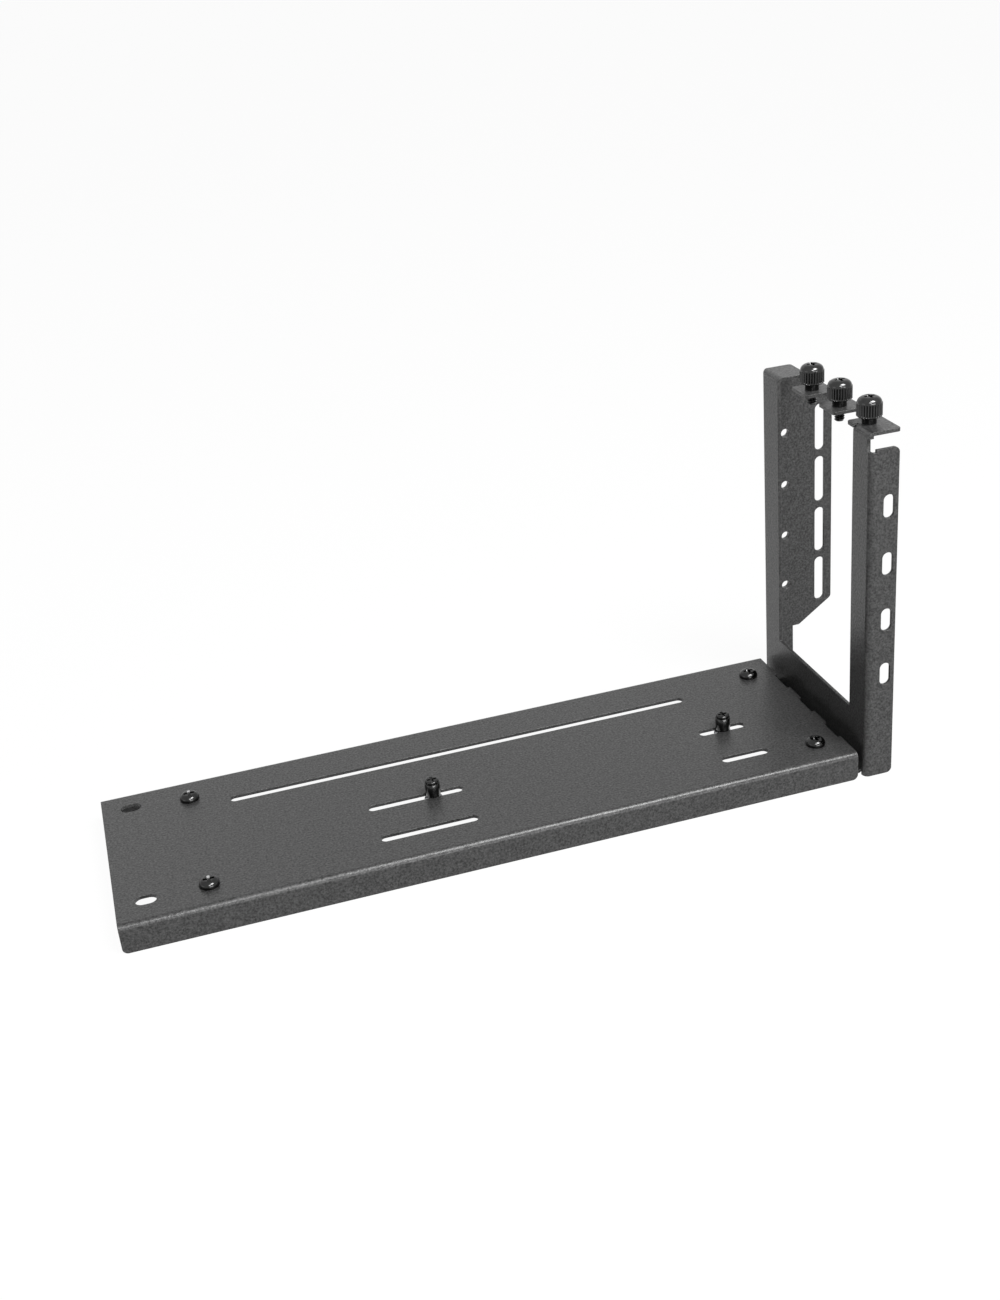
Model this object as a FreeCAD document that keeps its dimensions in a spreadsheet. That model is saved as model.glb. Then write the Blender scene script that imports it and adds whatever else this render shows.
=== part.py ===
import FreeCAD, Part
import math
import os
import Sketcher

# Graphics card support bracket.
#
# A low folded base plate carries an open folded upright at its right end. An expansion card stands on the
# plate with its end bracket against the upright: the bracket's tongue drops through a notch in the plate's
# end and a thumbscrew clamps its top flange on a comb-shaped flange. Two posts slide in the plate's slots
# and hold the riser board that the card plugs into.
#
# Frame: X runs along the plate towards the upright, Y to the back, Z up from the surface that it stands on.

doc = FreeCAD.newDocument("card_support_bracket")
sheet = doc.addObject("Spreadsheet::Sheet", "Sizes")

# Driving dimensions in millimetres: alias, value, meaning
DIMENSIONS = (
    ("sheet_thickness", 1.2, "steel sheet of the plate, upright and strap"),
    ("bend_radius", 0.9, "inside radius of every bend"),
    ("plate_length", 254.5, "base plate, left end to right end"),
    ("plate_width", 81.5, "over the flanges, the same for plate and upright"),
    ("plate_height", 10.5, "top face of the plate above the surface"),
    ("flange_corner", 2.0, "rounding of the free flange corners"),
    ("card_pitch", 20.32, "distance between neighbouring card slots"),
    ("slot_width", 3.7, "long slots in the plate"),
    ("post_row", 15.1, "front row of post slots, from the front face"),
    ("middle_slot_centre", 104.8, "middle pair of post slots, from the left end"),
    ("middle_slot_length", 33.6, "middle pair, end to end"),
    ("end_slot_inset", 35.8, "middle of the right pair of post slots, from the right end"),
    ("end_slot_length", 17.2, "right pair, end to end"),
    ("cable_slot_left", 44.0, "long slot near the back, from the left end"),
    ("cable_slot_right", 40.1, "long slot near the back, from the right end"),
    ("cable_slot_row", 62.1, "long slot, from the front face"),
    ("fixing_inset", 10.0, "slotted fixing holes, from the left end"),
    ("fixing_row_front", 11.9, "front fixing hole, from the front face"),
    ("fixing_row_back", 71.2, "back fixing hole, from the front face"),
    ("fixing_length", 7.0, "fixing hole, end to end along the plate"),
    ("fixing_width", 5.0, "fixing hole, across"),
    ("screw_inset_left", 30.5, "left plate screws, from the left end"),
    ("screw_inset_right", 10.4, "right plate screws, from the right end"),
    ("screw_row_front", 11.9, "front plate screws, from the front face"),
    ("screw_row_back", 68.5, "back plate screws, from the front face"),
    ("tongue_row", 18.9, "first tongue notch, from the front face"),
    ("tongue_width", 11.2, "tongue notch, along the plate's end"),
    ("tongue_depth", 1.2, "tongue notch, into the plate's end"),
    ("upright_gap", 2.5, "plate end to the upright's web"),
    ("upright_height", 125.8, "top face of the comb flange above the surface"),
    ("front_column", 12.0, "web left standing at the front"),
    ("back_column", 13.5, "web left standing at the back"),
    ("bar_height", 22.8, "top of the web's lower bar above the surface"),
    ("front_flange_width", 10.3, "front flange, from the web's face"),
    ("front_flange_top", 120.3, "top of the front flange above the surface"),
    ("relief_drop", 1.0, "corner relief below the front flange's top"),
    ("relief_depth", 2.4, "corner relief, from the front face"),
    ("back_flange_width", 11.4, "narrow part of the back flange"),
    ("panel_width", 27.4, "wide part of the back flange"),
    ("panel_shoulder", 14.1, "start of the panel's slanted edges, from the web's face"),
    ("panel_foot", 21.5, "underside of the panel above the surface"),
    ("panel_slant", 9.3, "rise of the panel's slanted edges"),
    ("seam_gap", 1.0, "open seam between back flange and comb flange"),
    ("comb_width", 11.4, "comb flange, from the web's face"),
    ("comb_front", 1.3, "front edge of the comb flange, from the front face"),
    ("comb_depth", 8.2, "notches between the comb's tabs"),
    ("comb_corner", 1.2, "rounding of the comb's corners"),
    ("tab_half_width", 5.8, "half of a comb tab"),
    ("thumb_row", 10.7, "first thumbscrew, from the front face"),
    ("thumb_inset", 5.0, "thumbscrews, from the web's face"),
    ("case_slot_first", 39.4, "middle of the lowest case slot and hole above the surface"),
    ("case_slot_last", 25.44, "middle of the highest case slot and hole below the upright's top"),
    ("front_slot_inset", 6.9, "front flange slots, from the web's face"),
    ("front_slot_length", 8.2, "front flange slots, end to end"),
    ("case_slot_width", 3.8, "slots in both flanges, across"),
    ("panel_slot_inset", 22.5, "panel slots, from the web's face"),
    ("panel_bridge", 2.52, "metal left between two panel slots"),
    ("case_hole_inset", 8.7, "tapped case holes, from the web's face"),
    ("case_hole_radius", 1.65, "tapped case holes"),
    ("collar_radius", 2.5, "drawn collar round a tapped case hole"),
    ("collar_height", 1.4, "drawn collar, out from the back face"),
    ("foot_reach", 19.5, "foot flange of the upright, in under the plate from the web's face"),
    ("leg_width", 2.5, "web left standing beside the foot flange"),
    ("foot_relief", 0.9, "bend relief at each end of the foot flange"),
    ("standoff_radius", 3.0, "standoff between the foot flange and the plate"),
    ("strap_width", 14.0, "strap under the left screws, along the plate"),
    ("strap_clearance", 1.2, "strap end to the inside of a flange"),
    ("strap_corner", 3.0, "rounding of the strap's corners"),
    ("thread_radius", 1.75, "thread of the plate screws and thumbscrews"),
    ("thread_clearance", 0.05, "radial clearance where a thread passes a tapped hole"),
    ("screw_clearance", 0.25, "radial clearance of a plate screw in the plate"),
    ("thread_chamfer", 0.45, "bevel at the end of a thread"),
    ("screw_head_radius", 3.4, "plate screw head"),
    ("screw_head_rim", 1.0, "straight side of a plate screw head"),
    ("screw_head_height", 2.4, "plate screw head"),
    ("screw_crown_radius", 2.1, "flat top of a plate screw head"),
    ("screw_end", 0.9, "plate screw beyond its nut"),
    ("weld_nut_flats", 7.0, "weld nut across its flats"),
    ("weld_nut_height", 2.3, "weld nut"),
    ("neck_radius", 2.4, "thumbscrew neck"),
    ("neck_length", 3.3, "thumbscrew neck"),
    ("knob_radius", 4.2, "thumbscrew head over its knurl"),
    ("knurl_height", 3.5, "knurled band of the thumbscrew head"),
    ("crown_height", 2.1, "crown above the knurled band"),
    ("crown_radius", 2.3, "flat top of the crown"),
    ("thumb_thread_length", 5.2, "thumbscrew thread below its neck"),
    ("left_post_centre", 111.1, "left post, from the left end"),
    ("right_post_inset", 35.3, "right post, from the right end"),
    ("post_radius", 2.6, "post"),
    ("post_height", 4.9, "post, without its screw head"),
    ("bolt_radius", 1.25, "thread of the post screws"),
    ("bolt_clearance", 0.1, "radial clearance of a post screw in post and washer"),
    ("bolt_head_radius", 2.4, "post screw head"),
    ("bolt_head_height", 1.2, "post screw head"),
    ("bolt_end", 0.6, "post screw beyond its nut"),
    ("washer_radius", 3.2, "washer under the plate"),
    ("washer_thickness", 0.5, "washer under the plate"),
    ("nut_flats", 5.0, "post nut across its flats"),
    ("nut_height", 2.0, "post nut"),
    ("case_slots", 4, "slots and holes up each flange"),
    ("card_slots", 3, "places for a card"),
)

for row, (alias, value, meaning) in enumerate(DIMENSIONS, start=1):
    sheet.set(f"A{row}", alias)
    sheet.set(f"B{row}", str(value))
    sheet.set(f"C{row}", meaning)
    sheet.setAlias(f"B{row}", alias)
doc.recompute()


class Size:
    """A length that knows its number and the sheet expression that it comes from."""

    def __init__(self, number, text):
        self.number = float(number)
        self.text = text

    @staticmethod
    def of(value):
        return value if isinstance(value, Size) else Size(value, f"{value}")

    def __add__(self, other):
        other = Size.of(other)
        return Size(self.number + other.number, f"({self.text} + {other.text})")

    def __sub__(self, other):
        other = Size.of(other)
        return Size(self.number - other.number, f"({self.text} - {other.text})")

    def __mul__(self, other):
        other = Size.of(other)
        return Size(self.number * other.number, f"({self.text} * {other.text})")

    def __truediv__(self, other):
        other = Size.of(other)
        return Size(self.number / other.number, f"({self.text} / {other.text})")

    def __neg__(self):
        return Size(-self.number, f"(-{self.text})")


def size(alias):
    return Size(getattr(sheet, alias), f"Sizes.{alias}")


S = {alias: size(alias) for alias, _, _ in DIMENSIONS}
ZERO = Size(0, "0")
BEYOND = Size(1, "1")
TOLERANCE = 1e-4

# Places that several pieces share
thickness = S["sheet_thickness"]
outer_bend = S["bend_radius"] + thickness
width = S["plate_width"]
web_face = S["plate_length"] + S["upright_gap"]
plate_top = S["plate_height"]
plate_underside = plate_top - thickness
lower_sheet = plate_underside - thickness
middle_x = (web_face + S["panel_width"]) / 2
middle_y = (width + S["collar_height"]) / 2
screw_right = S["plate_length"] - S["screw_inset_right"]
end_slot = S["plate_length"] - S["end_slot_inset"]
cable_slot_end = S["plate_length"] - S["cable_slot_right"]
case_pitch = (S["upright_height"] - S["case_slot_first"] - S["case_slot_last"]) / (S["case_slots"] - 1)
panel_slot = case_pitch - S["panel_bridge"]
tapped = S["thread_radius"] + S["thread_clearance"]
rows = {"front": S["screw_row_front"], "back": S["screw_row_back"]}


def steps(first, pitch, count):
    """Evenly spaced places."""
    return [first + pitch * index for index in range(count)]


card_count = int(sheet.card_slots)
case_count = int(sheet.case_slots)
tongue_rows = steps(S["tongue_row"], S["card_pitch"], card_count)
thumb_rows = steps(S["thumb_row"], S["card_pitch"], card_count)
case_levels = steps(S["case_slot_first"], case_pitch, case_count)
post_rows = steps(S["post_row"], S["card_pitch"], 2)


# Sketch helpers

def plane_of(body, role):
    return next(item for item in body.Origin.OriginFeatures if item.Role == role)


def new_body(name, x, y, z):
    """A body whose own origin stands at a place of the whole part."""
    body = doc.addObject("PartDesign::Body", name)
    body.Label = name
    body.setExpression("Placement.Base.x", (x - middle_x).text)
    body.setExpression("Placement.Base.y", (y - middle_y).text)
    body.setExpression("Placement.Base.z", z.text)
    return body


def new_sketch(body, name, role, offset=ZERO):
    """A sketch on one of the body's planes, moved along the plane's normal."""
    sketch = body.newObject("Sketcher::SketchObject", name)
    sketch.AttachmentSupport = (plane_of(body, role), [""])
    sketch.MapMode = "FlatFace"
    sketch.setExpression("AttachmentOffset.Base.z", offset.text)
    return sketch


def tie(sketch, kind, *items):
    """A constraint whose last item is a Size, bound to the sheet."""
    *references, length = items
    index = sketch.addConstraint(Sketcher.Constraint(kind, *references, length.number))
    sketch.setExpression(f"Constraints[{index}]", length.text)


START, END, CENTRE = range(1, 4)
ORIGIN = (-START, START)


def pin(sketch, geometry, vertex, x, y):
    """Fixes a point of the geometry at x, y."""
    tie(sketch, "DistanceX", *ORIGIN, geometry, vertex, x)
    tie(sketch, "DistanceY", *ORIGIN, geometry, vertex, y)


def polygon(sketch, corners):
    """A closed outline of straight lines."""
    points = [FreeCAD.Vector(x.number, y.number, 0) for x, y in corners]
    lines = [
        sketch.addGeometry(Part.LineSegment(point, points[(index + 1) % len(points)]))
        for index, point in enumerate(points)
    ]
    for index, line in enumerate(lines):
        following = lines[(index + 1) % len(lines)]
        sketch.addConstraint(Sketcher.Constraint("Coincident", line, END, following, START))
        pin(sketch, line, START, *corners[index])


def rectangle(sketch, x0, y0, x1, y1):
    polygon(sketch, [(x0, y0), (x1, y0), (x1, y1), (x0, y1)])


def circle(sketch, x, y, radius):
    shape = Part.Circle(FreeCAD.Vector(x.number, y.number, 0), FreeCAD.Vector(0, 0, 1), radius.number)
    ring = sketch.addGeometry(shape)
    pin(sketch, ring, CENTRE, x, y)
    tie(sketch, "Radius", ring, radius)


def obround(sketch, x, y, length, across, upright=False):
    """A slot with round ends, centred on x, y: two arcs joined by tangent lines."""
    reach = (length - across) / 2
    radius = across / 2
    turn = math.pi / 2 if upright else 0.0
    along = FreeCAD.Vector(math.cos(turn), math.sin(turn), 0)
    side = FreeCAD.Vector(-along.y, along.x, 0)
    middle = FreeCAD.Vector(x.number, y.number, 0)
    near = middle - along * reach.number
    far = middle + along * reach.number
    drop = side * radius.number
    normal = FreeCAD.Vector(0, 0, 1)
    quarter = math.pi / 2

    def half_ring(centre, start):
        ring = Part.Circle(centre, normal, radius.number)
        return sketch.addGeometry(Part.ArcOfCircle(ring, start, start + math.pi))

    far_arc = half_ring(far, turn - quarter)
    near_arc = half_ring(near, turn + quarter)
    first = sketch.addGeometry(Part.LineSegment(near - drop, far - drop))
    second = sketch.addGeometry(Part.LineSegment(far + drop, near + drop))
    for one, one_end, other, other_end in (
        (first, END, far_arc, START),
        (far_arc, END, second, START),
        (second, END, near_arc, START),
        (near_arc, END, first, START),
    ):
        sketch.addConstraint(Sketcher.Constraint("Tangent", one, one_end, other, other_end))
    sketch.addConstraint(Sketcher.Constraint("Equal", near_arc, far_arc))
    tie(sketch, "Radius", near_arc, radius)
    if upright:
        pin(sketch, near_arc, CENTRE, x, y - reach)
        pin(sketch, far_arc, CENTRE, x, y + reach)
    else:
        pin(sketch, near_arc, CENTRE, x - reach, y)
        pin(sketch, far_arc, CENTRE, x + reach, y)


# Feature helpers

def pad(body, sketch, length, reverse=False):
    feature = body.newObject("PartDesign::Pad", sketch.Name + "_pad")
    feature.Profile = sketch
    feature.Reversed = reverse
    feature.setExpression("Length", length.text)
    sketch.Visibility = False
    doc.recompute()
    return feature


def pocket(body, sketch, length, reverse=False):
    before = body.Shape.Volume
    feature = body.newObject("PartDesign::Pocket", sketch.Name + "_cut")
    feature.Profile = sketch
    feature.Reversed = reverse
    feature.setExpression("Length", length.text)
    sketch.Visibility = False
    doc.recompute()
    if body.Shape.Volume > before - TOLERANCE:
        raise RuntimeError(f"{feature.Name} removes nothing")
    return feature


def revolve(body, sketch):
    feature = body.newObject("PartDesign::Revolution", sketch.Name + "_turn")
    feature.Profile = sketch
    feature.ReferenceAxis = (sketch, ["V_Axis"])
    feature.Angle = 360
    sketch.Visibility = False
    doc.recompute()
    return feature


def edges_along(feature, axis, **place):
    """Names of the straight edges that run along one axis through a place given by its other coordinates."""
    names = []
    for index, edge in enumerate(feature.Shape.Edges, start=1):
        if edge.Curve.TypeId != "Part::GeomLine":
            continue
        direction = edge.Curve.Direction
        if abs(abs(getattr(direction, axis)) - 1) > TOLERANCE:
            continue
        middle = edge.CenterOfMass
        if all(abs(getattr(middle, key) - value.number) < TOLERANCE for key, value in place.items()):
            names.append(f"Edge{index}")
    return names


def fillet(body, base, radius, groups):
    """Rounds the edges that the groups of names list."""
    names = [name for group in groups for name in group]
    feature = body.newObject("PartDesign::Fillet", base.Name + "_round")
    feature.Base = (base, names)
    feature.setExpression("Radius", radius.text)
    doc.recompute()
    return feature


# Base plate: one sheet folded to a shallow channel

def make_base_plate():
    name = "base_plate"
    body = new_body(name, ZERO, ZERO, ZERO)
    height = S["plate_height"]
    length = S["plate_length"]

    profile = new_sketch(body, "plate_profile", "YZ_Plane")
    polygon(profile, [
        (ZERO, ZERO), (thickness, ZERO), (thickness, height - thickness), (width - thickness, height - thickness),
        (width - thickness, ZERO), (width, ZERO), (width, height), (ZERO, height),
    ])
    channel = pad(body, profile, length)
    channel = fillet(body, channel, outer_bend, [
        edges_along(channel, "x", y=ZERO, z=height),
        edges_along(channel, "x", y=width, z=height),
    ])
    channel = fillet(body, channel, S["bend_radius"], [
        edges_along(channel, "x", y=thickness, z=height - thickness),
        edges_along(channel, "x", y=width - thickness, z=height - thickness),
    ])
    fillet(body, channel, S["flange_corner"], [
        edges_along(channel, "y", x=x, z=ZERO) for x in (ZERO, length)
    ])

    slots = new_sketch(body, "plate_slots", "XY_Plane", height)
    for row in post_rows:
        obround(slots, S["middle_slot_centre"], row, S["middle_slot_length"], S["slot_width"])
        obround(slots, end_slot, row, S["end_slot_length"], S["slot_width"])
    cable_middle = (S["cable_slot_left"] + cable_slot_end) / 2
    cable_length = cable_slot_end - S["cable_slot_left"]
    obround(slots, cable_middle, S["cable_slot_row"], cable_length, S["slot_width"])
    for row in (S["fixing_row_front"], S["fixing_row_back"]):
        obround(slots, S["fixing_inset"], row, S["fixing_length"], S["fixing_width"])
    pocket(body, slots, thickness)

    holes = new_sketch(body, "plate_holes", "XY_Plane", height)
    for row in rows.values():
        for place in (S["screw_inset_left"], screw_right):
            circle(holes, place, row, S["thread_radius"] + S["screw_clearance"])
    pocket(body, holes, thickness)

    notches = new_sketch(body, "tongue_notches", "XY_Plane", height)
    for row in tongue_rows:
        half = S["tongue_width"] / 2
        rectangle(notches, length - S["tongue_depth"], row - half, length + BEYOND, row + half)
    pocket(body, notches, thickness)
    return body


# Upright: one sheet with a web, two side flanges, a comb flange on top and a foot flange at the bottom

def make_upright():
    name = "upright_bracket"
    body = new_body(name, web_face, ZERO, ZERO)
    height = S["upright_height"]
    inner_web = thickness
    comb_underside = height - thickness
    back_inside = width - thickness

    profile = new_sketch(body, "upright_profile", "XY_Plane")
    polygon(profile, [
        (ZERO, ZERO), (S["front_flange_width"], ZERO), (S["front_flange_width"], thickness),
        (inner_web, thickness), (inner_web, back_inside), (S["back_flange_width"], back_inside),
        (S["back_flange_width"], width), (ZERO, width),
    ])
    pad(body, profile, height)

    lid = new_sketch(body, "comb_blank", "XY_Plane", comb_underside)
    rectangle(lid, ZERO, ZERO, S["comb_width"], width)
    shell = pad(body, lid, thickness)
    shell = fillet(body, shell, outer_bend, [
        edges_along(shell, "z", x=ZERO, y=ZERO),
        edges_along(shell, "z", x=ZERO, y=width),
        edges_along(shell, "y", x=ZERO, z=height),
    ])
    fillet(body, shell, S["bend_radius"], [
        edges_along(shell, "z", x=inner_web, y=thickness),
        edges_along(shell, "z", x=inner_web, y=back_inside),
        edges_along(shell, "y", x=inner_web, z=comb_underside),
    ])

    make_card_opening(body)
    make_comb(body)
    make_front_flange(body)
    make_back_flange(body)
    make_foot(body)
    return body


def make_card_opening(body):
    """The card's sockets face out through the web, between two columns and above a bar."""
    opening = new_sketch(body, "card_opening", "YZ_Plane")
    above = S["upright_height"] + BEYOND
    rectangle(opening, S["front_column"], S["bar_height"], width - S["back_column"], above)
    pocket(body, opening, outer_bend, reverse=True)


def make_comb(body):
    """Tabs that reach back to the web's plane, joined by a narrow strip along the free edge."""
    height = S["upright_height"]
    back_edge = width - S["back_column"]
    clearing = new_sketch(body, "comb_clearing", "XY_Plane", height)
    rectangle(clearing, -BEYOND, S["front_column"], S["comb_depth"], back_edge)
    pocket(body, clearing, thickness)

    half = S["tab_half_width"]
    tabs = new_sketch(body, "comb_tabs", "XY_Plane", height)
    rectangle(tabs, ZERO, S["front_column"], S["comb_depth"], thumb_rows[0] + half)
    for row in thumb_rows[1:]:
        rectangle(tabs, ZERO, row - half, S["comb_depth"], row + half)
    comb = pad(body, tabs, thickness, reverse=True)

    front_trim = new_sketch(body, "comb_front_trim", "XY_Plane", height)
    rectangle(front_trim, -BEYOND, -BEYOND, S["comb_width"] + BEYOND, S["comb_front"])
    comb = pocket(body, front_trim, outer_bend)

    corners = [edges_along(comb, "z", x=ZERO, y=thumb_rows[0] + half)]
    for row in thumb_rows[1:]:
        corners.append(edges_along(comb, "z", x=ZERO, y=row - half))
        corners.append(edges_along(comb, "z", x=ZERO, y=row + half))
    corners.append(edges_along(comb, "z", x=S["comb_width"], y=S["comb_front"]))
    corners.append(edges_along(comb, "z", x=S["comb_width"], y=width))
    fillet(body, comb, S["comb_corner"], corners)

    holes = new_sketch(body, "thumb_holes", "XY_Plane", height)
    for row in thumb_rows:
        circle(holes, S["thumb_inset"], row, tapped)
    pocket(body, holes, thickness)


def make_front_flange(body):
    """Stops short of the comb flange, with a relief at the corner and a column of slots."""
    top = S["front_flange_top"]
    comb_underside = S["upright_height"] - thickness
    past_edge = S["front_flange_width"] + S["comb_width"]
    relief = new_sketch(body, "front_relief", "XZ_Plane")
    polygon(relief, [
        (-BEYOND, top - S["relief_drop"]), (outer_bend, top - S["relief_drop"]), (outer_bend, top),
        (past_edge, top), (past_edge, comb_underside), (outer_bend, comb_underside),
        (outer_bend, S["upright_height"] - outer_bend), (-BEYOND, S["upright_height"] - outer_bend),
    ])
    flange = pocket(body, relief, S["relief_depth"])
    fillet(body, flange, S["flange_corner"], [
        edges_along(flange, "y", x=S["front_flange_width"], z=top),
        edges_along(flange, "y", x=S["front_flange_width"], z=ZERO),
    ])

    slots = new_sketch(body, "front_slots", "XZ_Plane")
    for level in case_levels:
        obround(slots, S["front_slot_inset"], level, S["front_slot_length"], S["case_slot_width"], upright=True)
    pocket(body, slots, thickness)


def make_back_flange(body):
    """Narrow at the foot and widened to a panel above, with tapped holes and a column of long slots."""
    top = S["upright_height"] - thickness - S["seam_gap"]
    foot = S["panel_foot"]
    shoulder = S["panel_shoulder"]
    free_edge = S["panel_width"]
    slant = S["panel_slant"]
    back_face = -width

    seam = new_sketch(body, "back_seam", "XZ_Plane", back_face)
    rectangle(seam, outer_bend, top, S["comb_width"] + BEYOND, top + S["seam_gap"])
    pocket(body, seam, thickness, reverse=True)

    panel = new_sketch(body, "back_panel", "XZ_Plane", back_face)
    polygon(panel, [
        (outer_bend, foot), (shoulder, foot), (free_edge, foot + slant), (free_edge, top - slant),
        (shoulder, top), (outer_bend, top),
    ])
    flange = pad(body, panel, thickness)
    flange = fillet(body, flange, S["flange_corner"], [
        edges_along(flange, "y", x=free_edge, z=foot + slant),
        edges_along(flange, "y", x=free_edge, z=top - slant),
        edges_along(flange, "y", x=S["back_flange_width"], z=ZERO),
    ])

    collars = new_sketch(body, "hole_collars", "XZ_Plane", back_face)
    for level in case_levels:
        circle(collars, S["case_hole_inset"], level, S["collar_radius"])
    pad(body, collars, S["collar_height"], reverse=True)

    holes = new_sketch(body, "case_holes", "XZ_Plane", back_face - S["collar_height"])
    for level in case_levels:
        circle(holes, S["case_hole_inset"], level, S["case_hole_radius"])
    pocket(body, holes, thickness + S["collar_height"], reverse=True)

    slots = new_sketch(body, "panel_slots", "XZ_Plane", back_face)
    for level in case_levels:
        obround(slots, S["panel_slot_inset"], level, panel_slot, S["case_slot_width"], upright=True)
    pocket(body, slots, thickness, reverse=True)


def make_foot(body):
    """A flange folded in under the plate, between two legs of the web, which carries the right standoffs."""
    leg = S["leg_width"]
    near = leg + S["foot_relief"]
    far = width - near
    reliefs = new_sketch(body, "foot_reliefs", "YZ_Plane")
    rectangle(reliefs, leg, -BEYOND, near, outer_bend)
    rectangle(reliefs, far, -BEYOND, width - leg, outer_bend)
    pocket(body, reliefs, thickness, reverse=True)

    blank = new_sketch(body, "foot_blank", "XY_Plane")
    rectangle(blank, -S["foot_reach"], near, thickness, far)
    foot = pad(body, blank, thickness)
    foot = fillet(body, foot, outer_bend, [edges_along(foot, "y", x=thickness, y=width / 2, z=ZERO)])
    foot = fillet(body, foot, S["bend_radius"], [edges_along(foot, "y", x=ZERO, y=width / 2, z=thickness)])
    fillet(body, foot, S["flange_corner"], [
        edges_along(foot, "z", x=-S["foot_reach"], y=y) for y in (near, far)
    ])


# Strap: a flat bar across the channel that the left screws hold

def make_strap():
    body = new_body("underside_strap", S["screw_inset_left"], ZERO, lower_sheet)
    near = thickness + S["strap_clearance"]
    far = width - near
    half = S["strap_width"] / 2
    outline = new_sketch(body, "strap_outline", "XY_Plane")
    rectangle(outline, -half, near, half, far)
    bar = pad(body, outline, thickness)
    fillet(body, bar, S["strap_corner"], [
        edges_along(bar, "z", x=x, y=y) for x in (-half, half) for y in (near, far)
    ])
    holes = new_sketch(body, "strap_holes", "XY_Plane", thickness)
    for row in rows.values():
        circle(holes, ZERO, row, S["thread_radius"] + S["screw_clearance"])
    pocket(body, holes, thickness)
    return body


# Fasteners

def turned(body, name, corners):
    """A solid of revolution from the half profile that the corners give."""
    sketch = new_sketch(body, name + "_profile", "XZ_Plane")
    polygon(sketch, corners)
    return revolve(body, sketch)


def make_plate_screw(name, x, y):
    """Pan-head screw down through the plate. Its own origin is under the head."""
    body = new_body(name, x, y, plate_top)
    below = thickness * 2 + S["weld_nut_height"] + S["screw_end"]
    thread = S["thread_radius"]
    head = S["screw_head_radius"]
    turned(body, name, [
        (ZERO, -below), (thread, -below), (thread, ZERO), (head, ZERO), (head, S["screw_head_rim"]),
        (S["screw_crown_radius"], S["screw_head_height"]), (ZERO, S["screw_head_height"]),
    ])
    return body


def make_thumb_screw(name, y):
    """Broad head with a crown on a narrower neck. Its own origin is at the foot of the neck."""
    body = new_body(name, web_face + S["thumb_inset"], y, S["upright_height"])
    thread = S["thread_radius"]
    chamfer = S["thread_chamfer"]
    neck = S["neck_radius"]
    knob = S["knob_radius"]
    foot = S["neck_length"]
    shoulder = foot + S["knurl_height"]
    top = shoulder + S["crown_height"]
    length = S["thumb_thread_length"]
    turned(body, name, [
        (ZERO, -length), (thread - chamfer, -length), (thread, chamfer - length), (thread, ZERO),
        (neck, ZERO), (neck, foot), (knob, foot), (knob, shoulder), (S["crown_radius"], top), (ZERO, top),
    ])
    return body


def make_post(name, x, y):
    """Round post that stands on the lips of a plate slot."""
    body = new_body(name, x, y, plate_top)
    bore = S["bolt_radius"] + S["bolt_clearance"]
    outside = S["post_radius"]
    height = S["post_height"]
    turned(body, name, [(bore, ZERO), (outside, ZERO), (outside, height), (bore, height)])
    return body


def make_post_screw(name, x, y):
    """Slim screw through the post, the plate slot, a washer and a nut. Its own origin is under the head."""
    body = new_body(name, x, y, plate_top + S["post_height"])
    below = S["post_height"] + thickness + S["washer_thickness"] + S["nut_height"] + S["bolt_end"]
    thread = S["bolt_radius"]
    head = S["bolt_head_radius"]
    height = S["bolt_head_height"]
    turned(body, name, [
        (ZERO, -below), (thread, -below), (thread, ZERO), (head, ZERO), (head, height), (ZERO, height),
    ])
    return body


def place(item, x, y, z):
    item.setExpression("Placement.Base.x", (x - middle_x).text)
    item.setExpression("Placement.Base.y", (y - middle_y).text)
    item.setExpression("Placement.Base.z", z.text)


def drilled(name, blank, height, radius, x, y, z):
    """A blank with a round hole through it."""
    drill = doc.addObject("Part::Cylinder", name + "_drill")
    drill.setExpression("Radius", radius.text)
    drill.setExpression("Height", height.text)
    piece = doc.addObject("Part::Cut", name)
    piece.Label = name
    piece.Base = blank
    piece.Tool = drill
    place(piece, x, y, z)
    doc.recompute()
    return piece


def make_ring(name, outside, bore, height, x, y, z):
    blank = doc.addObject("Part::Cylinder", name + "_disc")
    blank.setExpression("Radius", outside.text)
    blank.setExpression("Height", height.text)
    return drilled(name, blank, height, bore, x, y, z)


def make_washer(name, x, y):
    height = S["washer_thickness"]
    bore = S["bolt_radius"] + S["bolt_clearance"]
    return make_ring(name, S["washer_radius"], bore, height, x, y, plate_underside - height)


def make_standoff(name, y):
    """Tapped standoff on the foot flange, under a right plate screw."""
    return make_ring(name, S["standoff_radius"], tapped, plate_underside - thickness, screw_right, y, thickness)


def make_nut(name, x, y, top, flats, height, bore):
    """A hexagon nut whose upper face is at the height top."""
    blank = doc.addObject("Part::Prism", name + "_hexagon")
    blank.Polygon = 6
    blank.setExpression("Circumradius", (flats / Size(math.sqrt(3), "sqrt(3)")).text)
    blank.setExpression("Height", height.text)
    return drilled(name, blank, height, bore, x, y, top - height)


def make_weld_nut(name, y):
    """Nut under the strap, for a left plate screw."""
    flats = S["weld_nut_flats"]
    return make_nut(name, S["screw_inset_left"], y, lower_sheet, flats, S["weld_nut_height"], tapped)


def make_post_nut(name, x, y):
    bore = S["bolt_radius"] + S["thread_clearance"]
    top = plate_underside - S["washer_thickness"]
    return make_nut(name, x, y, top, S["nut_flats"], S["nut_height"], bore)


# The whole part

pieces = [make_base_plate(), make_upright(), make_strap()]

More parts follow.
